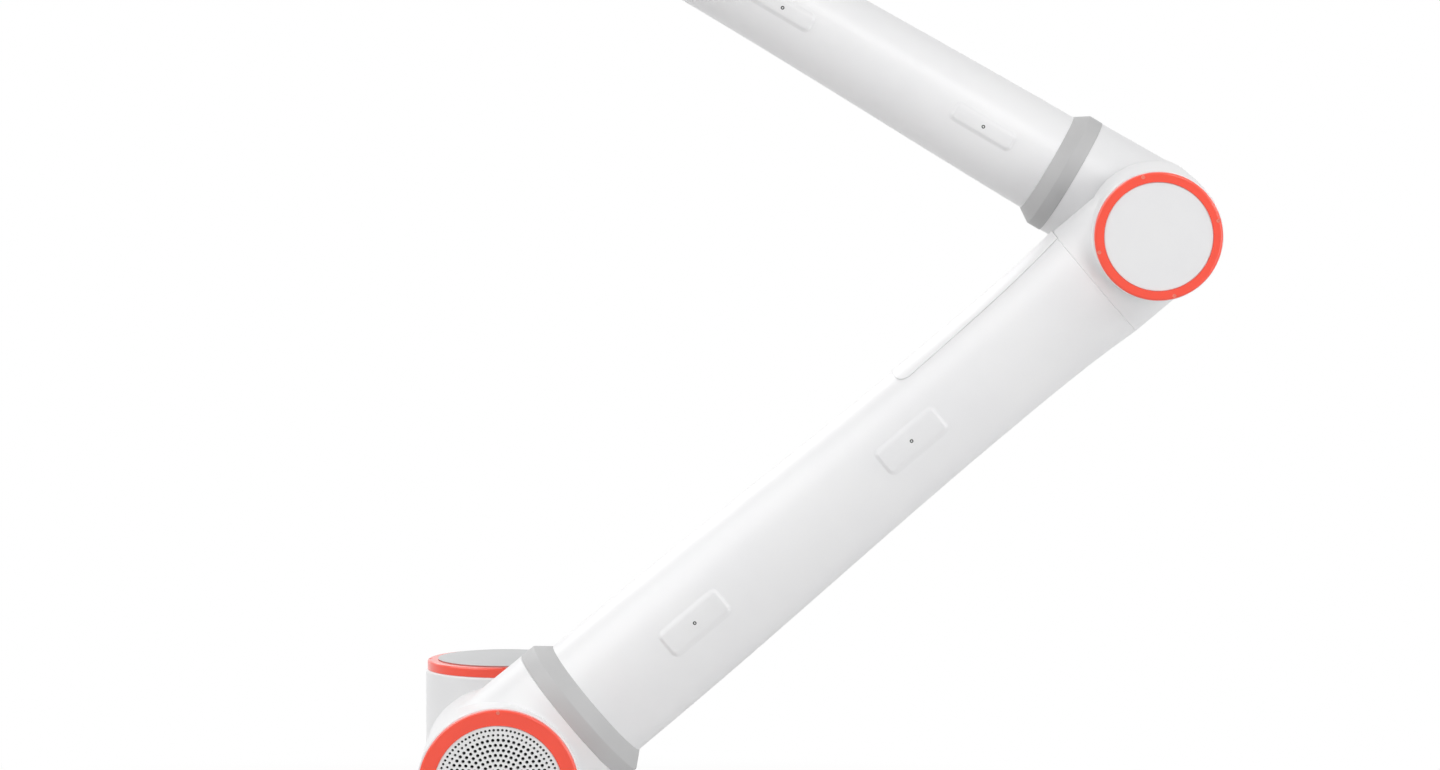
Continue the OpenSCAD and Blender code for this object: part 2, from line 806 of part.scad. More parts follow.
module fore_pad(s) {
    difference() {
        intersection() {
            rotate_extrude() polygon(concat(
                fore_stations(s - pad_len, s + pad_len, pad_t),
                back(fore_stations(s - pad_len, s + pad_len, cover_gap))));
            translate([0, 0, s]) rotate([0, -90, 0]) linear_extrude(height = 2 * fore_root_r)
                rounded(pad_len, fore_pad_w, pad_corner);
        }
        translate([0, 0, s]) rotate([0, -90, 0]) disc_hole(screw_r + fit, 0, 2 * fore_root_r);
    }
}

module forearm_access_covers() {
    color("whitesmoke")
    at_forearm_root() along(forearm_lift) {
        fore_pad(fore_pad_1);
        fore_pad(fore_pad_2);
    }
}

module wrist_1_housing() {
    color("whitesmoke")
    at_joint_4() t_housing(SMALL, -forearm_lift - 180, wrist_boss_r + wrist_draft, wrist_boss_r,
        wrist_boss_len, screw_turn_small);
}

module wrist_1_cap() {
    color("gainsboro") at_joint_4() cap_plate(SMALL);
}

module wrist_1_cap_ring() {
    color("tomato") at_joint_4() cap_ring(SMALL, screw_turn_small);
}

module forearm_screws() {
    color("gray") {
        at_joint_4() ring_screw_set(SMALL, screw_turn_small);
        at_forearm_root() along(forearm_lift) for (s = [fore_pad_1, fore_pad_2])
            translate([0, 0, s]) rotate([0, -90, 0]) pad_pin(fore_tube_r(s));
    }
}

// Wrists: each casting holds one drive and is turned by the one before it

module wrist_casting(direction, reach) {
    difference() {
        union() {
            drum(housing_r(SMALL), -drive_reach(SMALL), seat_z(SMALL), edge, edge);
            along(direction) drum(wrist_boss_r + wrist_draft, 0, reach, sharp, edge);
        }
        disc(cavity_r(SMALL), lip_top(SMALL), seat_z(SMALL) + over);
        disc(hub_r(SMALL) + run_gap, -drive_reach(SMALL) - over, lip_top(SMALL) + over);
        along(direction) disc(cavity_r(SMALL) - boss_extra, 0, reach - web_t);
        along(direction) disc(bore_r(SMALL), 0, reach + over);
        ring_copies(ring_screws, ring_mid(SMALL), screw_turn_small)
            disc_hole(screw_r, seat_z(SMALL) - screw_bite, seat_z(SMALL) + over);
    }
}

module wrist_2_housing() {
    color("whitesmoke") at_joint_5() wrist_casting(90, wrist_1_offset - small_rear - joint_gap);
}

module wrist_2_cap() {
    color("gainsboro") at_joint_5() cap_plate(SMALL);
}

module wrist_2_cap_ring() {
    color("tomato") at_joint_5() cap_ring(SMALL, screw_turn_small);
}

module wrist_2_screws() {
    color("gray") at_joint_5() ring_screw_set(SMALL, screw_turn_small);
}

module wrist_3_housing() {
    color("whitesmoke") at_joint_6() wrist_casting(0, wrist_2_offset - small_rear - joint_gap);
}

module wrist_3_cap() {
    color("gainsboro") at_joint_6() cap_plate(SMALL);
}

module wrist_3_cap_ring() {
    color("tomato") at_joint_6() cap_ring(SMALL, screw_turn_small);
}

module wrist_3_screws() {
    color("gray") at_joint_6() ring_screw_set(SMALL, screw_turn_small);
}

// Frame of the plug socket on the rim of the tool flange
module at_tool_socket() {
    translate([0, 0, (tool_top - wrist_3_offset) / 2 + tool_socket_rise]) rotate([90, 0, 0]) children();
}

module tool_flange() {
    color("silver")
    at_joint_6() difference() {
        drum(flange_r, -wrist_3_offset, tool_top, foot_edge, edge);
        disc(pilot_d / 2, -wrist_3_offset - over, -wrist_3_offset + pilot_depth);
        disc(bore_r(SMALL), -wrist_3_offset, tool_top + over);
        ring_copies(flange_bolts, flange_bolt_r, 30)
            disc_hole(flange_thread_d / 2, -wrist_3_offset - over, -wrist_3_offset + flange_thread_depth);
        ring_copies(1, flange_bolt_r, 0)
            disc_hole(dowel_d / 2, -wrist_3_offset - over, -wrist_3_offset + dowel_depth);
        at_tool_socket() disc_hole(tool_socket_r + fit, flange_r - tool_socket_depth, flange_r + over);
    }
}

module tool_socket() {
    color("dimgray")
    at_joint_6() at_tool_socket() difference() {
        disc_hole(tool_socket_r, flange_r - tool_socket_depth, flange_r + over);
        disc_hole(tool_socket_r - 2, flange_r - tool_socket_depth / 2, flange_r + 2 * over);
    }
}

// Drives

module drive_piece(joint, kind) {
    d = joint < 3 ? BIG : joint == 3 ? MID : SMALL;
    at_joint(joint) {
        if (kind == "stator") color("peru") stator(d);
        if (kind == "rotor") color("slategray") rotor(d);
        if (kind == "gear_ring") color("steelblue") gear_ring(d);
        if (kind == "gear_cup") color("goldenrod") gear_cup(d);
    }
}

module at_joint(joint) {
    if (joint == 1) at_joint_1() children();
    if (joint == 2) at_joint_2() children();
    if (joint == 3) at_joint_3() children();
    if (joint == 4) at_joint_4() children();
    if (joint == 5) at_joint_5() children();
    if (joint == 6) at_joint_6() children();
}

base_casting();
base_cable_socket();
shoulder_casting();
shoulder_cap();
shoulder_cap_ring();
shoulder_screws();
upper_arm_shoulder_housing();
shoulder_grille();
grille_filter();
shoulder_grille_ring();
upper_arm_collar();
upper_arm_tube();
upper_arm_access_covers();
upper_arm_cable_cover();
elbow_housing();
elbow_cap();
elbow_cap_ring();
upper_arm_screws();
forearm_root_casting();
forearm_collar();
forearm_tube();
forearm_access_covers();
wrist_1_housing();
wrist_1_cap();
wrist_1_cap_ring();
forearm_screws();
wrist_2_housing();
wrist_2_cap();
wrist_2_cap_ring();
wrist_2_screws();
wrist_3_housing();
wrist_3_cap();
wrist_3_cap_ring();
wrist_3_screws();
tool_flange();
tool_socket();
drive_piece(1, "stator");  // joint_1_stator
drive_piece(1, "rotor");  // joint_1_rotor
drive_piece(1, "gear_ring");  // joint_1_gear_ring
drive_piece(1, "gear_cup");  // joint_1_gear_cup
drive_piece(2, "stator");  // joint_2_stator
drive_piece(2, "rotor");  // joint_2_rotor
drive_piece(2, "gear_ring");  // joint_2_gear_ring
drive_piece(2, "gear_cup");  // joint_2_gear_cup
drive_piece(3, "stator");  // joint_3_stator
drive_piece(3, "rotor");  // joint_3_rotor
drive_piece(3, "gear_ring");  // joint_3_gear_ring
drive_piece(3, "gear_cup");  // joint_3_gear_cup
drive_piece(4, "stator");  // joint_4_stator
drive_piece(4, "rotor");  // joint_4_rotor
drive_piece(4, "gear_ring");  // joint_4_gear_ring
drive_piece(4, "gear_cup");  // joint_4_gear_cup
drive_piece(5, "stator");  // joint_5_stator
drive_piece(5, "rotor");  // joint_5_rotor
drive_piece(5, "gear_ring");  // joint_5_gear_ring
drive_piece(5, "gear_cup");  // joint_5_gear_cup
drive_piece(6, "stator");  // joint_6_stator
drive_piece(6, "rotor");  // joint_6_rotor
drive_piece(6, "gear_ring");  // joint_6_gear_ring
drive_piece(6, "gear_cup");  // joint_6_gear_cup
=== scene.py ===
"""Looks of a six-axis collaborative robot arm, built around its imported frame.

The frame gives every casting, tube, cap and drive. This script dresses each of them in a
procedural finish, models the sloped access covers and the shoulder's lidded cap, rounds the
collars and the cable cover, adds the lip seals and the contact pins, and sets the studio and
the camera.
"""

import json
import logging
import math
from dataclasses import dataclass, field
from enum import Enum
from functools import partial
from typing import Any, Sequence

import bpy
from mathutils import Matrix, Vector


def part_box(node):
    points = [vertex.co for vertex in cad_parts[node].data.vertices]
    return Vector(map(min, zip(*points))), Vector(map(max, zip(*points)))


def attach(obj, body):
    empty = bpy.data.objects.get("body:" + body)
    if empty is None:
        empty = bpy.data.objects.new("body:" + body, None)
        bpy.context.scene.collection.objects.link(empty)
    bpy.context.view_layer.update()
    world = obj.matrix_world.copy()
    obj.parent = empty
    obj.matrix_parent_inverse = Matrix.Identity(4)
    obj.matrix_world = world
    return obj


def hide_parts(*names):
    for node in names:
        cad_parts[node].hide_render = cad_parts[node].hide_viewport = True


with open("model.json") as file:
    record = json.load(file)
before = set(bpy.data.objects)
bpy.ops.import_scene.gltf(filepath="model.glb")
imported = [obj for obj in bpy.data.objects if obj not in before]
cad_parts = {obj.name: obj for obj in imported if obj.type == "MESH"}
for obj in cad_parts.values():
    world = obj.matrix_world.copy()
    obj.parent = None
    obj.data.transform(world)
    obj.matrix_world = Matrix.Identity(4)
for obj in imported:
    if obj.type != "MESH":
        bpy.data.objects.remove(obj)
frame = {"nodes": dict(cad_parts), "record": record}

log = logging.getLogger("robot_arm")
MM = 0.001
HALF = 0.5

Colour = tuple[float, float, float]
Point = tuple[float, float, float]

BLACK: Colour = (0.0, 0.0, 0.0)
WHITE: Colour = (1.0, 1.0, 1.0)


class Grain(Enum):
    """Surface texture of a finish."""

    ORANGE_PEEL = "orange peel of sprayed paint"
    SPARK = "spark-eroded mould"
    TURNED = "turned on a lathe"
    GROUND = "ground"
    WEAVE = "woven"


# Shader maths


class Signal:
    """A shader socket that takes part in Python arithmetic."""

    def __init__(self, graph: "Graph", socket: bpy.types.NodeSocket) -> None:
        """Keeps the socket and the graph that it belongs to.

        Args:
            graph: the node tree's wrapper.
            socket: an output socket of one of its nodes.
        """
        self.graph = graph
        self.socket = socket

    def _math(self, operation: str, *values: Any) -> "Signal":
        """Adds one Math node.

        Args:
            operation: name of the Math operation.
            values: numbers or signals for its sockets.

        Returns:
            The result as a signal.
        """
        return self.graph.node(
            "ShaderNodeMath", {"operation": operation}, dict(enumerate(values))
        )

    def __add__(self, other: Any) -> "Signal":
        """Sum of two values."""
        return self._math("ADD", self, other)

    def __radd__(self, other: Any) -> "Signal":
        """Sum with the number on the left."""
        return self._math("ADD", other, self)

    def __sub__(self, other: Any) -> "Signal":
        """Difference of two values."""
        return self._math("SUBTRACT", self, other)

    def __mul__(self, other: Any) -> "Signal":
        """Product of two values."""
        return self._math("MULTIPLY", self, other)

    def __gt__(self, other: Any) -> "Signal":
        """One where the value is above the other, else zero."""
        return self._math("GREATER_THAN", self, other)

    def smooth(self, low: float, high: float) -> "Signal":
        """Zero below low, one above high, and a soft step between them.

        Args:
            low: where the step starts.
            high: where it ends.

        Returns:
            The step as a signal.
        """
        return self.graph.node(
            "ShaderNodeMapRange",
            {"interpolation_type": "SMOOTHSTEP"},
            {"Value": self, "From Min": low, "From Max": high},
        )

    def wave(self, per_metre: float) -> "Signal":
        """Sine of the value.

        Args:
            per_metre: number of waves in a metre.

        Returns:
            The sine as a signal.
        """
        return self._math("SINE", self * (2 * math.pi * per_metre))


class Graph:
    """Node tree of one material or world."""

    def __init__(
        self,
        owner: bpy.types.Material | bpy.types.World,
        output: str = "ShaderNodeOutputMaterial",
    ) -> None:
        """Empties the owner's node tree and gives it an output node.

        Args:
            owner: the material or world.
            output: Blender's name of the output node.
        """
        owner.use_nodes = True
        self.owner = owner
        self.tree = owner.node_tree
        self.tree.nodes.clear()
        self.output = self.tree.nodes.new(output)

    def node(
        self,
        kind: str,
        settings: dict[str, Any] | None = None,
        sockets: dict[Any, Any] | None = None,
        out: int | str = 0,
    ) -> Signal:
        """Adds a node.

        Args:
            kind: Blender's name of the node type.
            settings: attributes, set before the sockets.
            sockets: values or signals by socket name or number.
            out: output socket that is returned.

        Returns:
            The chosen output as a signal.
        """
        made = self.tree.nodes.new(kind)
        for key, value in (settings or {}).items():
            setattr(made, key, value)
        for key, value in (sockets or {}).items():
            socket = made.inputs[key]
            if isinstance(value, Signal):
                self.tree.links.new(value.socket, socket)
            else:
                socket.default_value = value
        return Signal(self, made.outputs[out])

    def place(self) -> Signal:
        """Object coordinates of the surface point."""
        return self.node("ShaderNodeTexCoord", out="Object")

    def axis(self, which: str) -> Signal:
        """One component of the object coordinates: "X", "Y" or "Z"."""
        return self.node("ShaderNodeSeparateXYZ", None, {0: self.place()}, which)

    def noise(self, scale: float, detail: float = 2.0, roughness: float = 0.5) -> Signal:
        """Fractal noise from zero to one.

        Args:
            scale: waves per metre.
            detail: number of finer layers.
            roughness: strength of the finer layers.

        Returns:
            The noise as a signal.
        """
        return self.node(
            "ShaderNodeTexNoise",
            None,
            {"Vector": self.place(), "Scale": scale, "Detail": detail, "Roughness": roughness},
        )

    def mix(self, low: Colour, high: Colour, factor: Signal) -> Signal:
        """Blend of two colours.

        Args:
            low: colour where the factor is zero.
            high: colour where it is one.
            factor: the blend.

        Returns:
            The colour as a signal.
        """
        return self.node(
            "ShaderNodeMix",
            {"data_type": "RGBA"},
            {0: factor, 6: (*low, 1.0), 7: (*high, 1.0)},
            2,
        )

    def bump(self, height: Signal, depth: float) -> Signal:
        """Normal that leans with a height.

        Args:
            height: height from zero to one.
            depth: its full range in metres.

        Returns:
            The normal as a signal.
        """
        return self.node(
            "ShaderNodeBump",
            None,
            {"Height": height, "Distance": depth, "Strength": 1.0},
        )

    def seen_directly(self) -> Signal:
        """One for rays from the camera, glossy and transmission rays, else zero."""
        rays = [
            self.node("ShaderNodeLightPath", out=f"Is {kind} Ray")
            for kind in ("Camera", "Glossy", "Transmission")
        ]
        return (rays[0] + rays[1] + rays[2]) > HALF

    def surface(self, shader: Signal) -> bpy.types.Material | bpy.types.World:
        """Ends the tree with its shader.

        Args:
            shader: output of a shader node.

        Returns:
            The finished material or world.
        """
        self.tree.links.new(shader.socket, self.output.inputs["Surface"])
        return self.owner


# Finishes

CLOUD_SCALE = 9.0
CLOUD_DETAIL = 3.0
CLOUD_ROUGHNESS = 0.6
CLOUD_STEP = (0.35, 0.75)
LATHE_WAVER = 0.4
GROUND_STRETCH = (1.0, 1.0, 12.0)
PEEL_DETAIL = 1.0
SPARK_DETAIL = 3.0


@dataclass(frozen=True)
class Finish:
    """A surface finish: what varies over it comes from object coordinates."""

    name: str
    colour: Colour
    shade: Colour
    roughness: float = 0.4
    spread: float = 0.06
    grain: Grain = Grain.ORANGE_PEEL
    grain_per_metre: float = 900.0
    grain_depth: float = 0.02 * MM
    metallic: float = 0.0
    coat: float = 0.0
    coat_roughness: float = 0.12
    centre: Point = (0.0, 0.0, 0.0)

    def _height(self, graph: Graph) -> Signal:
        """Height of the fine texture, from zero to one."""
        if self.grain is Grain.TURNED:
            centred = graph.node(
                "ShaderNodeMapping",
                {"vector_type": "TEXTURE"},
                {"Vector": graph.place(), "Location": self.centre},
            )
            return graph.node(
                "ShaderNodeTexWave",
                {"wave_type": "RINGS", "rings_direction": "Z"},
                {"Vector": centred, "Scale": self.grain_per_metre, "Distortion": LATHE_WAVER},
                "Fac",
            )
        if self.grain is Grain.GROUND:
            stretched = graph.node(
                "ShaderNodeMapping", None, {"Vector": graph.place(), "Scale": GROUND_STRETCH}
            )
            return graph.node(
                "ShaderNodeTexNoise", None, {"Vector": stretched, "Scale": self.grain_per_metre}
            )
        if self.grain is Grain.WEAVE:
            warp = graph.axis("X").wave(self.grain_per_metre)
            weft = graph.axis("Z").wave(self.grain_per_metre)
            return warp * weft * HALF + HALF
        detail = PEEL_DETAIL if self.grain is Grain.ORANGE_PEEL else SPARK_DETAIL
        return graph.noise(self.grain_per_metre, detail)

    def _tint(self, graph: Graph, colour: Signal) -> Signal:
        """Colour of the finish. Finishes of mixed piece sets change it by place."""
        return colour

    def build(self) -> bpy.types.Material:
        """Makes the material.

        Returns:
            A material whose colour, roughness and bump vary over the surface.
        """
        graph = Graph(bpy.data.materials.new(self.name))
        cloud = graph.noise(CLOUD_SCALE, CLOUD_DETAIL, CLOUD_ROUGHNESS)
        height = self._height(graph)
        colour = graph.mix(self.colour, self.shade, cloud.smooth(*CLOUD_STEP))
        rough = (
            self.roughness
            + (cloud - HALF) * self.spread
            + (height - HALF) * (self.spread * HALF)
        )
        shader = graph.node(
            "ShaderNodeBsdfPrincipled",
            None,
            {
                "Base Color": self._tint(graph, colour),
                "Roughness": rough,
                "Metallic": self.metallic,
                "Coat Weight": self.coat,
                "Coat Roughness": self.coat_roughness,
                "Normal": graph.bump(height, self.grain_depth),
            },
            "BSDF",
        )
        return graph.surface(shader)


@dataclass(frozen=True)
class PinFinish(Finish):
    """Finish of a screw set: blackened cover screws among ring screws tinted coral, a painted
    reflection of the ring in their heads.
    """

    dark: Colour = (0.03, 0.03, 0.032)
    behind: float = 0.0
    facing: float = 1.0

    def _tint(self, graph: Graph, colour: Signal) -> Signal:
        """Darkens the cover screws, which lie behind a plane across the Y axis."""
        mask = (graph.axis("Y") * self.facing) > (self.behind * self.facing)
        return graph.node(
            "ShaderNodeMix",
            {"data_type": "RGBA"},
            {0: mask, 6: colour, 7: (*self.dark, 1.0)},
            2,
        )


painted = partial(Finish, roughness=0.42, spread=0.05, coat=0.25, coat_roughness=0.3)
moulded = partial(
    Finish, roughness=0.42, spread=0.05, grain=Grain.SPARK, grain_per_metre=1500.0
)
ground = partial(
    Finish, spread=0.1, grain=Grain.GROUND, grain_per_metre=2500.0, grain_depth=0.01 * MM
)
# Coral tint of the ring screws: a painted reflection of the coral ring in their steel heads, not
# a lacquer.
CORAL_REFLECTION_TINT = {
    "colour": (0.95, 0.31, 0.23),
    "shade": (0.9, 0.27, 0.2),
    "roughness": 0.32,
    "spread": 0.1,
    "grain": Grain.GROUND,
    "grain_per_metre": 2500.0,
    "grain_depth": 0.01 * MM,
    "metallic": 0.2,
}

WHITE_PAINT = painted(
    "white_paint", (0.83, 0.83, 0.835), (0.81, 0.81, 0.82), grain_depth=0.012 * MM
)
TUBE_PAINT = painted(
    "tube_gloss_paint", (0.86, 0.86, 0.865), (0.84, 0.84, 0.85), grain_depth=0.01 * MM
)
GRILLE_PAINT = Finish(
    "grille_white_paint", (0.84, 0.84, 0.84), (0.81, 0.81, 0.81), roughness=0.45, spread=0.05
)
COVER_PLASTIC = moulded("cover_moulded_white", (0.84, 0.84, 0.845), (0.82, 0.82, 0.83))
CAP_PLASTIC = moulded("cap_moulded_white", (0.82, 0.82, 0.825), (0.8, 0.8, 0.81))
GREY_CAP = moulded(
    "cap_moulded_grey", (0.58, 0.585, 0.59), (0.55, 0.555, 0.56), roughness=0.5
)
COLLAR_GREY = moulded(
    "collar_moulded_grey",
    (0.52, 0.52, 0.522),
    (0.49, 0.49, 0.493),
    roughness=0.5,
    spread=0.06,
    grain_per_metre=1300.0,
    grain_depth=0.03 * MM,
)
RING_CORAL = moulded(
    "ring_coral",
    (0.97, 0.066, 0.026),
    (0.94, 0.062, 0.025),
    roughness=0.3,
    spread=0.04,
    coat=0.6,
    coat_roughness=0.14,
)
DARK_SOCKET = moulded(
    "socket_moulded_black",
    (0.03, 0.03, 0.032),
    (0.045, 0.045, 0.047),
    roughness=0.5,
    spread=0.1,
    grain_depth=0.05 * MM,
)
SEAL_RUBBER = moulded(
    "seal_rubber",
    (0.05, 0.05, 0.052),
    (0.07, 0.07, 0.07),
    roughness=0.7,
    spread=0.1,
    grain_per_metre=1200.0,
    grain_depth=0.04 * MM,
)
STATOR_POTTING = moulded(
    "stator_potted_winding",
    (0.33, 0.13, 0.05),
    (0.22, 0.08, 0.03),
    roughness=0.45,
    spread=0.15,
    grain_per_metre=500.0,
    grain_depth=0.3 * MM,
)
# Black woven sheet behind the grille holes: its black is painted shade that darkens the holes.
GRILLE_SHADE_SHEET = Finish(
    "grille_painted_shade_sheet",
    (0.012, 0.012, 0.013),
    (0.02, 0.02, 0.02),
    roughness=0.9,
    spread=0.05,
    grain=Grain.WEAVE,
    grain_per_metre=1100.0,
    grain_depth=0.2 * MM,
)
# Ring screws carry the coral tint, a painted reflection of the ring around them.
RING_SCREW = Finish("screw_painted_coral_reflection", **CORAL_REFLECTION_TINT)
UPPER_ARM_SCREW = PinFinish("screw_coral_upper_arm", **CORAL_REFLECTION_TINT, behind=-0.2)
FOREARM_SCREW = PinFinish("screw_coral_forearm", **CORAL_REFLECTION_TINT, behind=-0.02, facing=-1.0)
COVER_SCREW = ground(
    "screw_blackened", (0.02, 0.02, 0.021), (0.03, 0.03, 0.031), roughness=0.55
)
CONTACT_GOLD = ground(
    "contact_gilded",
    (0.9, 0.66, 0.3),
    (0.8, 0.58, 0.25),
    roughness=0.25,
    spread=0.08,
    metallic=1.0,
)
DRIVE_STEEL = ground(
    "drive_ground_steel",
    (0.55, 0.55, 0.57),
    (0.45, 0.45, 0.47),
    roughness=0.28,
    grain_per_metre=1800.0,
    grain_depth=0.02 * MM,
    metallic=1.0,
)
FLANGE_ALUMINIUM = Finish(
    "flange_machined",
    (0.75, 0.755, 0.765),
    (0.68, 0.685, 0.7),
    roughness=0.3,
    spread=0.08,
    grain=Grain.TURNED,
    metallic=1.0,
    centre=(-0.085258, -0.159, 1.07),
)


class Wardrobe:
    """Makes each finish once and puts it on nodes and pieces."""

    def __init__(self) -> None:
        """Starts with no materials made."""
        self._made: dict[str, bpy.types.Material] = {}

    def material(self, finish: Finish) -> bpy.types.Material:
        """The finish's material, made on first use."""
        if finish.name not in self._made:
            self._made[finish.name] = finish.build()
        return self._made[finish.name]

    def dress(self, obj: bpy.types.Object, finish: Finish) -> None:
        """Gives an object the finish as its only material."""
        obj.data.materials.clear()
        obj.data.materials.append(self.material(finish))


# Mesh tools

ROUND_CORNERS = 128
WELD_DISTANCE = 0.01 * MM
FLAT_DEGREES = 0.5


def deselect() -> None:
    """Leaves edit mode and deselects every object."""
    if bpy.context.mode != "OBJECT":
        bpy.ops.object.mode_set(mode="OBJECT")
    bpy.ops.object.select_all(action="DESELECT")


def select_only(obj: bpy.types.Object) -> None:
    """Selects one object and makes it the active one."""
    deselect()
    obj.select_set(True)
    bpy.context.view_layer.objects.active = obj


def edit_all() -> None:
    """Enters edit mode on the active object with all of its mesh selected."""
    bpy.ops.object.mode_set(mode="EDIT")
    bpy.ops.mesh.select_all(action="SELECT")


def end_edit() -> None:
    """Turns all normals of the edited mesh outward and leaves edit mode."""
    bpy.ops.mesh.select_all(action="SELECT")
    bpy.ops.mesh.normals_make_consistent(inside=False)
    bpy.ops.object.mode_set(mode="OBJECT")


def settle(obj: bpy.types.Object) -> None:
    """Moves an object's place, turn and size into its mesh."""
    select_only(obj)
    bpy.ops.object.transform_apply(location=True, rotation=True, scale=True)


def smooth(obj: bpy.types.Object, degrees: float = 32.0) -> None:
    """Shades smooth all edges under an angle in degrees."""
    select_only(obj)
    bpy.ops.object.shade_smooth_by_angle(angle=math.radians(degrees))


def welded_copy(node: str, name: str) -> bpy.types.Object:
    """Copies a frame node as a new piece with its triangles joined.

    Args:
        node: name of the frame node.
        name: name of the new piece.

    Returns:
        The new piece, at the same place.
    """
    source = frame["nodes"][node]
    copy = bpy.data.objects.new(name, source.data.copy())
    bpy.context.scene.collection.objects.link(copy)
    select_only(copy)
    edit_all()
    bpy.ops.mesh.remove_doubles(threshold=WELD_DISTANCE)
    bpy.ops.mesh.dissolve_limited(angle_limit=math.radians(FLAT_DEGREES))
    bpy.ops.object.mode_set(mode="OBJECT")
    return copy


def round_edges(
    obj: bpy.types.Object, width: float, segments: int = 3, angle: float = 40.0
) -> None:
    """Rounds the sharp edges of a piece.

    Args:
        obj: the piece.
        width: radius in metres.
        segments: facets across the rounding.
        angle: least angle between two faces, in degrees.
    """
    bevel = obj.modifiers.new("round", "BEVEL")
    bevel.width = width
    bevel.segments = segments
    bevel.limit_method = "ANGLE"
    bevel.angle_limit = math.radians(angle)
    bevel.use_clamp_overlap = True
    select_only(obj)
    bpy.ops.object.modifier_apply(modifier="round")


def joint_record(name: str) -> dict[str, Any]:
    """The record's entry of a joint."""
    joints = frame["record"]["behaviour"]["joints"]
    return next(joint for joint in joints if joint["name"] == name)


def joint_place(name: str) -> Vector:
    """A point on a joint's axis, in metres."""
    return Vector(joint_record(name)["pos_m"])


@dataclass(frozen=True)
class Axis:
    """A line in space with a direction, on which round pieces sit."""

    origin: Vector
    direction: Vector

    def matrix(self, along: float = 0.0) -> Matrix:
        """Frame whose Z runs along the axis.

        Args:
            along: distance of the frame from the axis's origin.

        Returns:
            The frame as a matrix.
        """
        turn = self.direction.to_track_quat("Z", "Y").to_matrix().to_4x4()
        return Matrix.Translation(self.origin + self.direction * along) @ turn


def turned_ring(
    name: str, axis: Axis, inner: float, outer: float, low: float, high: float, round_by: float
) -> bpy.types.Object:
    """Models a ring: a circle widened to a flat band, raised and rounded.

    Args:
        name: name of the piece.
        axis: the line that it sits on.
        inner: inner radius in metres.
        outer: outer radius in metres.
        low: lower face along the axis.
        high: upper face along the axis.
        round_by: radius of its edges.

    Returns:
        The ring, with its place in its mesh.
    """
    deselect()
    bpy.ops.mesh.primitive_circle_add(
        vertices=ROUND_CORNERS, radius=outer, fill_type="NOTHING"
    )
    ring = bpy.context.object
    ring.name = name
    edit_all()
    bpy.ops.mesh.extrude_edges_move()
    share = inner / outer
    bpy.ops.transform.resize(value=(share, share, 1.0))
    bpy.ops.mesh.select_all(action="SELECT")
    bpy.ops.mesh.extrude_region_move(TRANSFORM_OT_translate={"value": (0.0, 0.0, high - low)})
    end_edit()
    ring.matrix_world = axis.matrix(low)
    settle(ring)
    round_edges(ring, round_by, 2)
    smooth(ring)
    return ring


def stepped_disc(
    name: str,
    corners: int,
    radius: float,
    steps: Sequence[tuple[float, float]],
    bottom: float = 0.0,
) -> bpy.types.Object:
    """Models a closed round piece: a disc that is extruded and resized step by step.

    Args:
        name: name of the piece.
        corners: number of corners round it.
        radius: radius of the disc in metres.
        steps: rise in metres and share of the size after it, for each extrusion.
        bottom: height of the disc in metres.

    Returns:
        The piece, whose object stands at the disc's centre.
    """
    deselect()
    bpy.ops.mesh.primitive_circle_add(
        vertices=corners, radius=radius, fill_type="NGON", location=(0.0, 0.0, bottom)
    )
    piece = bpy.context.object
    piece.name = name
    edit_all()
    for rise, share in steps:
        bpy.ops.mesh.extrude_region_move(TRANSFORM_OT_translate={"value": (0.0, 0.0, rise)})
        bpy.ops.transform.resize(value=(share, share, 1.0))
    end_edit()
    return piece


# Small pieces

LARGE_DRIVE = {"inner": 67.6 * MM, "outer": 80.4 * MM, "reach": 84 * MM}
MEDIUM_DRIVE = {"inner": 50.2 * MM, "outer": 63 * MM, "reach": 66 * MM}
SMALL_DRIVE = {"inner": 37.1 * MM, "outer": 49.9 * MM, "reach": 56 * MM}
PIN_CORNERS = 16
PIN_TIP_SHARE = 0.6
PIN_TIP_TAPER = 0.45
SCREW_CORNERS = 24
SCREW_STEPS = ((0.5 * MM, 1.0), (0.15 * MM, 0.85), (0.0, 0.55), (-0.45 * MM, 0.8))
SCREW_SINK = 0.5 * MM
COVER_SMOOTH_DEGREES = 50.0


@dataclass(frozen=True)
class LipSeal:
    """Dark lip seal in the gap between a drive's housing and the casting that it turns."""

    joint: str
    body: str
    inner: float
    outer: float
    reach: float
    gap: float = 1 * MM
    play: float = 0.1 * MM

    def build(self, wardrobe: Wardrobe) -> None:
        """Models the seal on its joint's axis."""
        axis = Axis(joint_place(self.joint), Vector(joint_record(self.joint)["axis"]))
        piece = turned_ring(
            f"{self.joint}_lip_seal",
            axis,
            self.inner,
            self.outer,
            -self.reach - self.gap + self.play,
            -self.reach - self.play,
            self.play,
        )
        wardrobe.dress(piece, SEAL_RUBBER)
        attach(piece, self.body)
        log.info("%s built", piece.name)


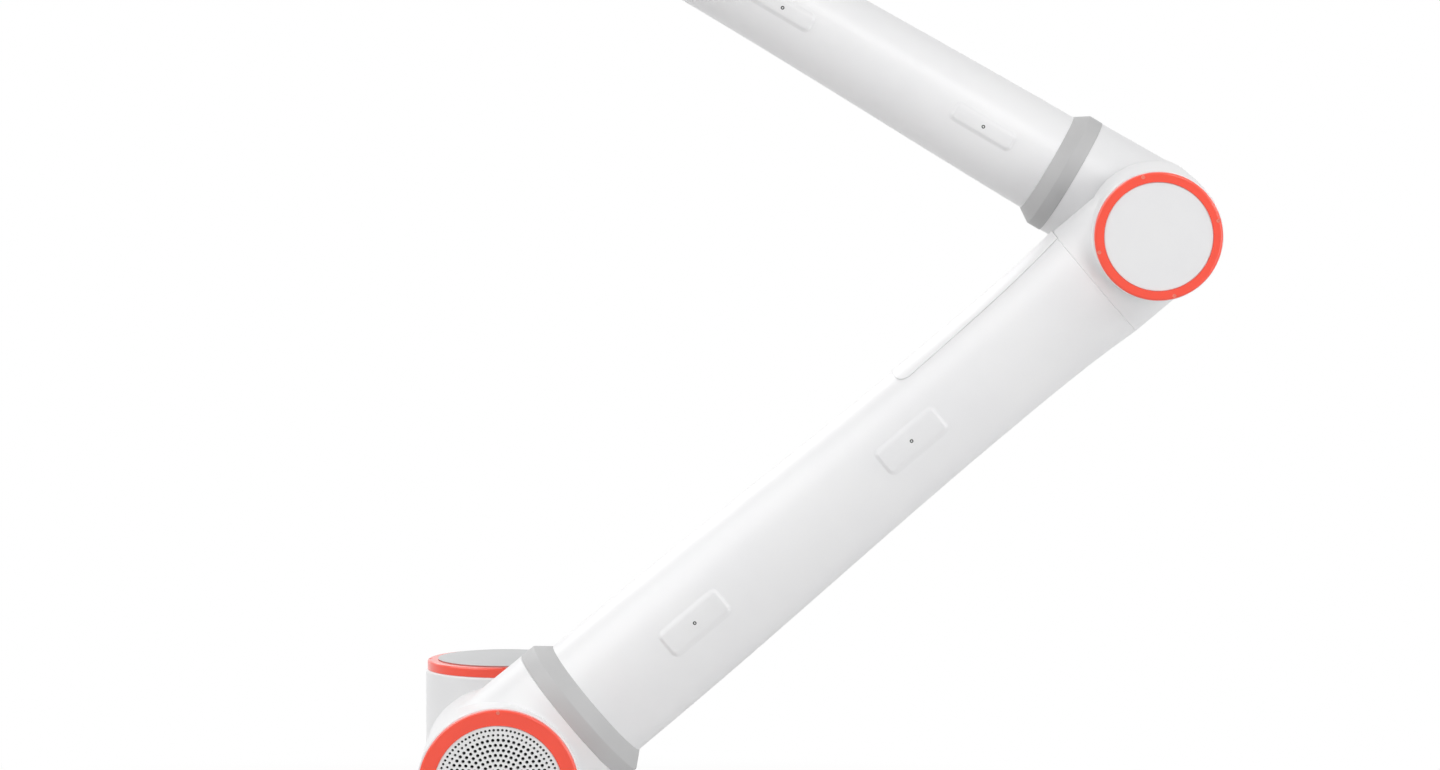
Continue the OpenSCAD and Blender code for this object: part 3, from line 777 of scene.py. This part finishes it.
@dataclass(frozen=True)
class ContactPins:
    """Gilded contact pins that stand in a plug socket."""

    node: str
    body: str
    floor_y: float
    facing: float
    pin_radius: float
    length: float
    circle: float
    count: int = 8

    def _pin(self) -> bpy.types.Object:
        """Models one pin with a tapered tip, standing on the origin along Z."""
        tip = self.pin_radius * PIN_TIP_SHARE
        steps = ((self.length - tip, 1.0), (tip, PIN_TIP_TAPER))
        return stepped_disc("pin", PIN_CORNERS, self.pin_radius, steps)

    def build(self, wardrobe: Wardrobe) -> None:
        """Copies the pin round the socket's axis and joins the copies."""
        low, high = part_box(self.node)
        centre = Vector(((low[0] + high[0]) / 2, self.floor_y, (low[2] + high[2]) / 2))
        axis = Axis(centre, Vector((0.0, self.facing, 0.0)))
        first = self._pin()
        pins = [first]
        for _ in range(self.count - 1):
            copy = bpy.data.objects.new("pin", first.data.copy())
            bpy.context.scene.collection.objects.link(copy)
            pins.append(copy)
        for index, pin in enumerate(pins):
            turn = 2 * math.pi * index / self.count
            offset = Vector((self.circle * math.cos(turn), self.circle * math.sin(turn), 0.0))
            pin.matrix_world = axis.matrix() @ Matrix.Translation(offset)
        deselect()
        for pin in pins:
            pin.select_set(True)
        bpy.context.view_layer.objects.active = first
        bpy.ops.object.join()
        first.name = f"{self.node}_pins"
        settle(first)
        smooth(first)
        wardrobe.dress(first, CONTACT_GOLD)
        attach(first, self.body)
        log.info("%s built", first.name)


@dataclass(frozen=True)
class TubeLine:
    """Centre line of an arm tube and the side that its covers lie on."""

    node: str
    origin: Vector
    lift: float
    outward: Vector = field(default_factory=lambda: Vector((0.0, -1.0, 0.0)))
    ray_length: float = 0.2

    @property
    def along(self) -> Vector:
        """Direction of the tube."""
        angle = math.radians(self.lift)
        return Vector((math.cos(angle), 0.0, math.sin(angle)))

    def on_surface(self, station: float, across: float, height: float) -> Vector:
        """Point over the tube's surface.

        Args:
            station: distance along the tube's line.
            across: distance to the side of the line, as seen from outside.
            height: height above the surface.

        Returns:
            The point in metres.

        Raises:
            ValueError: if the tube isn't met there.
        """
        foot = self.origin + self.along * station
        start = (
            foot
            + self.outward.cross(self.along) * across
            + self.outward * self.ray_length
        )
        hit, place, _, _ = frame["nodes"][self.node].ray_cast(start, -self.outward)
        if not hit:
            raise ValueError(f"no surface of {self.node} at {station:.3f}, {across:.3f}")
        radial = place - foot
        radial -= self.along * radial.dot(self.along)
        return place + radial.normalized() * height


@dataclass(frozen=True)
class SlopedCover:
    """Moulded access cover whose rim slopes softly down to its tube, with its screw."""

    line: TubeLine
    body: str
    length: float
    width: float
    height: float = 2.3 * MM
    end_slope: float = 4 * MM
    side_slope: float = 5.5 * MM
    corner: float = 7 * MM
    cell: float = 0.8 * MM
    seat: float = 0.05 * MM
    screw_radius: float = 1.9 * MM

    def _outline(self, x: float, y: float) -> tuple[float, float, float]:
        """Pulls a point of the rectangle inside the rounded outline.

        Args:
            x: place along the cover.
            y: place across the cover.

        Returns:
            The place inside the outline, and its distance from the rim as a share of the
            slope there.
        """
        core_x = self.length / 2 - self.corner
        core_y = self.width / 2 - self.corner
        over_x = max(abs(x) - core_x, 0.0)
        over_y = max(abs(y) - core_y, 0.0)
        reach = math.hypot(over_x, over_y)
        if over_x > 0.0 and over_y > 0.0:
            square = max(over_x, over_y)
            x = math.copysign(core_x + over_x * square / reach, x)
            y = math.copysign(core_y + over_y * square / reach, y)
            reach = square
        turn = over_x**2 / (over_x**2 + over_y**2) if reach > 0.0 else 0.0
        slope = self.side_slope + (self.end_slope - self.side_slope) * turn
        return x, y, (self.corner - reach) / slope

    def _rise(self, share: float) -> float:
        """Height of the cover at a share of its slope, as a soft step."""
        share = min(max(share, 0.0), 1.0)
        return self.seat + (self.height - self.seat) * share * share * (3.0 - 2.0 * share)

    def _shell(self, name: str, station: float) -> bpy.types.Object:
        """Lays a fine grid over the tube, raises it and closes its underside."""
        deselect()
        bpy.ops.mesh.primitive_grid_add(
            x_subdivisions=round(self.length / self.cell),
            y_subdivisions=round(self.width / self.cell),
            size=1.0,
        )
        shell = bpy.context.object
        shell.name = name
        for vertex in shell.data.vertices:
            x, y, share = self._outline(vertex.co.x * self.length, vertex.co.y * self.width)
            vertex.co = self.line.on_surface(station + x, y, self._rise(share))
        edit_all()
        bpy.ops.mesh.region_to_loop()
        bpy.ops.mesh.edge_face_add()
        end_edit()
        smooth(shell, COVER_SMOOTH_DEGREES)
        return shell

    def _screw(self, name: str, station: float) -> bpy.types.Object:
        """Models the low screw head in the middle of the cover, with a round drive hole."""
        screw = stepped_disc(name, SCREW_CORNERS, self.screw_radius, SCREW_STEPS)
        foot = self.line.on_surface(station, 0.0, self.height - SCREW_SINK)
        screw.matrix_world = Axis(foot, self.line.outward).matrix()
        settle(screw)
        smooth(screw)
        return screw

    def build(self, wardrobe: Wardrobe, node: str, stations: Sequence[float]) -> None:
        """Builds the covers of one tube and their screws.

        Args:
            wardrobe: the finishes.
            node: frame node that the covers replace.
            stations: distances of the covers along the tube's line.
        """
        for number, station in enumerate(stations, 1):
            shell = self._shell(f"{node}_{number}", station)
            wardrobe.dress(shell, COVER_PLASTIC)
            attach(shell, self.body)
            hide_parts(node)
            screw = self._screw(f"{node}_screw_{number}", station)
            wardrobe.dress(screw, COVER_SCREW)
            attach(screw, self.body)
            log.info("%s and its screw built", shell.name)


# Sub-assemblies

COVER_EDGE = 0.6 * MM
COLLAR_EDGE = 0.8 * MM
COLLAR_DEGREES = 20.0


@dataclass
class Assembly:
    """A rigid sub-assembly: frame nodes and the finish of each."""

    body: str
    finishes: dict[str, Finish] = field(default_factory=dict)

    def dress(self, wardrobe: Wardrobe) -> None:
        """Puts the finishes on the frame's nodes."""
        for node, finish in self.finishes.items():
            wardrobe.dress(frame["nodes"][node], finish)
            log.info("%s dressed in %s", node, finish.name)

    def round_node(
        self, wardrobe: Wardrobe, node: str, slot: str, width: float, angle: float = 40.0
    ) -> None:
        """Replaces a moulded node by a copy with rounded edges.

        Args:
            wardrobe: the finishes.
            node: frame node that is replaced.
            slot: the record's material slot; not used.
            width: radius of the rounding in metres.
            angle: least angle of an edge that is rounded, in degrees.
        """
        piece = welded_copy(node, f"{node}_rounded")
        round_edges(piece, width, angle=angle)
        smooth(piece)
        wardrobe.dress(piece, self.finishes[node])
        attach(piece, self.body)
        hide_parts(node)
        log.info("%s rounded", node)


@dataclass
class Base(Assembly):
    """Foot, column and cable socket."""

    body: str = "base"
    finishes: dict[str, Finish] = field(
        default_factory=lambda: {"base_casting": WHITE_PAINT, "base_cable_socket": DARK_SOCKET}
    )

    def build(self, wardrobe: Wardrobe) -> None:
        """Dresses the base and fills its socket."""
        self.dress(wardrobe)
        ContactPins(
            "base_cable_socket",
            self.body,
            floor_y=86 * MM,
            facing=1.0,
            pin_radius=0.9 * MM,
            length=7 * MM,
            circle=7 * MM,
        ).build(wardrobe)


@dataclass
class Shoulder(Assembly):
    """Shoulder casting with its coloured ring and its grey cap, whose lid lies on the ring."""

    body: str = "shoulder"
    cap_radius: float = 65.7 * MM
    cap_bottom: float = 335.2 * MM
    lid_radius: float = 70.5 * MM
    lid_bottom: float = 340.05 * MM
    lid_top: float = 341.4 * MM
    cap_edge: float = 0.6 * MM
    finishes: dict[str, Finish] = field(
        default_factory=lambda: {
            "shoulder_casting": WHITE_PAINT,
            "shoulder_cap": GREY_CAP,
            "shoulder_cap_ring": RING_CORAL,
            "shoulder_screws": RING_SCREW,
        }
    )

    def build(self, wardrobe: Wardrobe) -> None:
        """Dresses the shoulder, gives it its lidded cap and seals its joint."""
        self.dress(wardrobe)
        self._lidded_cap(wardrobe)
        LipSeal("base_turn", self.body, **LARGE_DRIVE).build(wardrobe)

    def _lidded_cap(self, wardrobe: Wardrobe) -> None:
        """Models the cap: a plug in the ring under a wider, round-edged lid."""
        steps = (
            (self.lid_bottom - self.cap_bottom, 1.0),
            (0.0, self.lid_radius / self.cap_radius),
            (self.lid_top - self.lid_bottom, 1.0),
        )
        cap = stepped_disc(
            "shoulder_lidded_cap", ROUND_CORNERS, self.cap_radius, steps, self.cap_bottom
        )
        settle(cap)
        round_edges(cap, self.cap_edge)
        smooth(cap)
        wardrobe.dress(cap, GREY_CAP)
        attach(cap, self.body)
        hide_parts("shoulder_cap")
        log.info("lidded cap built")


@dataclass
class UpperArm(Assembly):
    """Two T-shaped housings, the collar, the tube, its covers and the grille."""

    body: str = "upper_arm"
    finishes: dict[str, Finish] = field(
        default_factory=lambda: {
            "upper_arm_shoulder_housing": WHITE_PAINT,
            "shoulder_grille": GRILLE_PAINT,
            "grille_filter": GRILLE_SHADE_SHEET,
            "shoulder_grille_ring": RING_CORAL,
            "upper_arm_collar": COLLAR_GREY,
            "upper_arm_tube": TUBE_PAINT,
            "upper_arm_access_covers": COVER_PLASTIC,
            "upper_arm_cable_cover": TUBE_PAINT,
            "elbow_housing": WHITE_PAINT,
            "elbow_cap": CAP_PLASTIC,
            "elbow_cap_ring": RING_CORAL,
            "upper_arm_screws": UPPER_ARM_SCREW,
        }
    )
    lift: float = 40.1
    cover_stations: tuple[float, float] = (257 * MM, 541 * MM)

    def build(self, wardrobe: Wardrobe) -> None:
        """Dresses the arm, models its covers and seals its two joints."""
        self.dress(wardrobe)
        LipSeal("shoulder_lift", self.body, **LARGE_DRIVE).build(wardrobe)
        LipSeal("elbow_bend", self.body, **MEDIUM_DRIVE).build(wardrobe)
        cover = SlopedCover(
            TubeLine("upper_arm_tube", joint_place("shoulder_lift"), self.lift),
            self.body,
            length=77 * MM,
            width=34 * MM,
            side_slope=7.5 * MM,
            corner=8 * MM,
        )
        cover.build(wardrobe, "upper_arm_access_covers", self.cover_stations)
        self.round_node(wardrobe, "upper_arm_cable_cover", "white_tube", COVER_EDGE)
        self.round_node(
            wardrobe, "upper_arm_collar", "grey_collar", COLLAR_EDGE, COLLAR_DEGREES
        )


@dataclass
class Forearm(Assembly):
    """Root casting, collar, tube, covers and the first wrist housing."""

    body: str = "forearm"
    finishes: dict[str, Finish] = field(
        default_factory=lambda: {
            "forearm_root_casting": WHITE_PAINT,
            "forearm_collar": COLLAR_GREY,
            "forearm_tube": TUBE_PAINT,
            "forearm_access_covers": COVER_PLASTIC,
            "wrist_1_housing": WHITE_PAINT,
            "wrist_1_cap": CAP_PLASTIC,
            "wrist_1_cap_ring": RING_CORAL,
            "forearm_screws": FOREARM_SCREW,
        }
    )
    lift: float = 149.4
    cover_stations: tuple[float, float] = (198 * MM, 435 * MM)

    def build(self, wardrobe: Wardrobe) -> None:
        """Dresses the forearm, models its covers and seals the first wrist joint."""
        self.dress(wardrobe)
        LipSeal("wrist_1_turn", self.body, **SMALL_DRIVE).build(wardrobe)
        elbow = joint_place("elbow_bend")
        elbow.y = joint_place("wrist_1_turn").y
        cover = SlopedCover(
            TubeLine("forearm_tube", elbow, self.lift),
            self.body,
            length=72 * MM,
            width=22 * MM,
        )
        cover.build(wardrobe, "forearm_access_covers", self.cover_stations)
        self.round_node(wardrobe, "forearm_collar", "grey_collar", COLLAR_EDGE, COLLAR_DEGREES)


@dataclass
class Wrist(Assembly):
    """One wrist casting with its cap and ring."""

    number: int = 2

    def build(self, wardrobe: Wardrobe) -> None:
        """Dresses the wrist and seals its joint."""
        stem = f"wrist_{self.number}"
        self.finishes = {
            f"{stem}_housing": WHITE_PAINT,
            f"{stem}_cap": CAP_PLASTIC,
            f"{stem}_cap_ring": RING_CORAL,
            f"{stem}_screws": RING_SCREW,
        }
        self.dress(wardrobe)
        LipSeal(f"{stem}_turn", self.body, **SMALL_DRIVE).build(wardrobe)


@dataclass
class Tool(Assembly):
    """Tool flange and its plug socket."""

    body: str = "tool"
    socket_depth: float = 7 * MM
    finishes: dict[str, Finish] = field(
        default_factory=lambda: {"tool_flange": FLANGE_ALUMINIUM, "tool_socket": DARK_SOCKET}
    )

    def build(self, wardrobe: Wardrobe) -> None:
        """Dresses the flange and fills its socket."""
        self.dress(wardrobe)
        ContactPins(
            "tool_socket",
            self.body,
            floor_y=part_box("tool_socket")[0][1] + self.socket_depth,
            facing=-1.0,
            pin_radius=0.5 * MM,
            length=4.5 * MM,
            circle=3.2 * MM,
        ).build(wardrobe)


@dataclass
class Drives:
    """The strain-wave drives inside the housings."""

    count: int = 6

    def build(self, wardrobe: Wardrobe) -> None:
        """Dresses stators, rotors and gears."""
        for number in range(1, self.count + 1):
            wardrobe.dress(frame["nodes"][f"joint_{number}_stator"], STATOR_POTTING)
            for part in ("rotor", "gear_ring", "gear_cup"):
                wardrobe.dress(frame["nodes"][f"joint_{number}_{part}"], DRIVE_STEEL)


# Studio


@dataclass(frozen=True)
class Softbox:
    """A square soft lamp: its place, the length of its side in metres and its power."""

    name: str
    place: Point
    size: float
    watts: float

    def build(self, aim: Point) -> None:
        """Sets the lamp up.

        Args:
            aim: the point that it faces.
        """
        data = bpy.data.lights.new(self.name, "AREA")
        data.size = self.size
        data.energy = self.watts
        lamp = bpy.data.objects.new(self.name, data)
        lamp.location = self.place
        facing = Vector(aim) - Vector(self.place)
        lamp.rotation_euler = facing.to_track_quat("-Z", "Y").to_euler()
        bpy.context.scene.collection.objects.link(lamp)


@dataclass(frozen=True)
class Studio:
    """Camera, floor, background and soft lamps."""

    image_width: int = 1440
    focal_px: float = 7860.0
    sensor: float = 36.0
    camera_place: Point = (0.253, -8.074, 1.332)
    pitch: float = 5.01
    yaw: float = 0.227
    view_depth: float = 200.0
    floor_size: float = 60.0
    floor_shade: float = 0.8
    floor_roughness: float = 0.9
    floor_fades: tuple[float, float] = (0.7, 1.8)
    fill: float = 0.268
    aim: Point = (0.35, -0.1, 0.7)
    lamps: tuple[Softbox, ...] = (
        Softbox("key_softbox", (1.6, -2.6, 3.0), 1.0, 21.6),
        Softbox("front_softbox", (2.6, -3.4, 0.9), 1.6, 33.0),
        Softbox("left_softbox", (-2.0, -0.9, 2.6), 2.8, 63.9),
        Softbox("right_softbox", (2.9, -0.9, 1.9), 1.0, 20.6),
        Softbox("rear_softbox", (-1.4, 2.6, 2.8), 2.0, 30.9),
    )

    def camera(self) -> None:
        """Places the camera at the photograph's viewing angle."""
        data = bpy.data.cameras.new("camera")
        data.sensor_fit = "HORIZONTAL"
        data.sensor_width = self.sensor
        data.lens = self.focal_px / self.image_width * self.sensor
        data.clip_end = self.view_depth
        camera = bpy.data.objects.new("camera", data)
        camera.location = self.camera_place
        camera.rotation_euler = (
            math.radians(90.0 - self.pitch), 0.0, math.radians(self.yaw)
        )
        bpy.context.scene.collection.objects.link(camera)
        bpy.context.scene.camera = camera

    def floor(self) -> None:
        """Lays a pale floor that keeps soft shadows and fades to white away from the arm."""
        deselect()
        bpy.ops.mesh.primitive_plane_add(size=self.floor_size)
        floor = bpy.context.object
        floor.name = "floor"
        graph = Graph(bpy.data.materials.new("floor_pale"))
        pale = (self.floor_shade,) * 3
        distance = graph.node(
            "ShaderNodeVectorMath", {"operation": "LENGTH"}, {0: graph.place()}, "Value"
        )
        white = distance.smooth(*self.floor_fades) * graph.seen_directly()
        shader = graph.node(
            "ShaderNodeBsdfPrincipled",
            None,
            {
                "Base Color": graph.mix(pale, BLACK, white),
                "Roughness": self.floor_roughness,
                "Specular IOR Level": 0.0,
                "Emission Color": graph.mix(BLACK, WHITE, white),
                "Emission Strength": 1.0,
            },
            "BSDF",
        )
        floor.data.materials.append(graph.surface(shader))

    def world(self) -> None:
        """Sets a white background and a soft even fill."""
        world = bpy.data.worlds.new("studio")
        bpy.context.scene.world = world
        graph = Graph(world, "ShaderNodeOutputWorld")
        soft, white = (
            graph.node(
                "ShaderNodeBackground", None, {"Color": (*WHITE, 1.0), "Strength": strength}
            )
            for strength in (self.fill, 1.0)
        )
        graph.surface(
            graph.node("ShaderNodeMixShader", None, {0: graph.seen_directly(), 1: soft, 2: white})
        )

    def build(self) -> None:
        """Sets up the whole studio."""
        bpy.context.scene.view_settings.view_transform = "Standard"
        self.camera()
        self.floor()
        self.world()
        for lamp in self.lamps:
            lamp.build(self.aim)
        log.info("studio ready")


def main() -> None:
    """Builds the sub-assemblies in order, then the studio."""
    logging.basicConfig(level=logging.INFO, format="%(name)s: %(message)s")
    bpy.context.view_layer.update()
    wardrobe = Wardrobe()
    for assembly in (
        Base(),
        Shoulder(),
        UpperArm(),
        Forearm(),
        Wrist("wrist_2", number=2),
        Wrist("wrist_3", number=3),
        Tool(),
        Drives(),
    ):
        assembly.build(wardrobe)
    Studio().build()


if __name__ == "__main__":
    main()
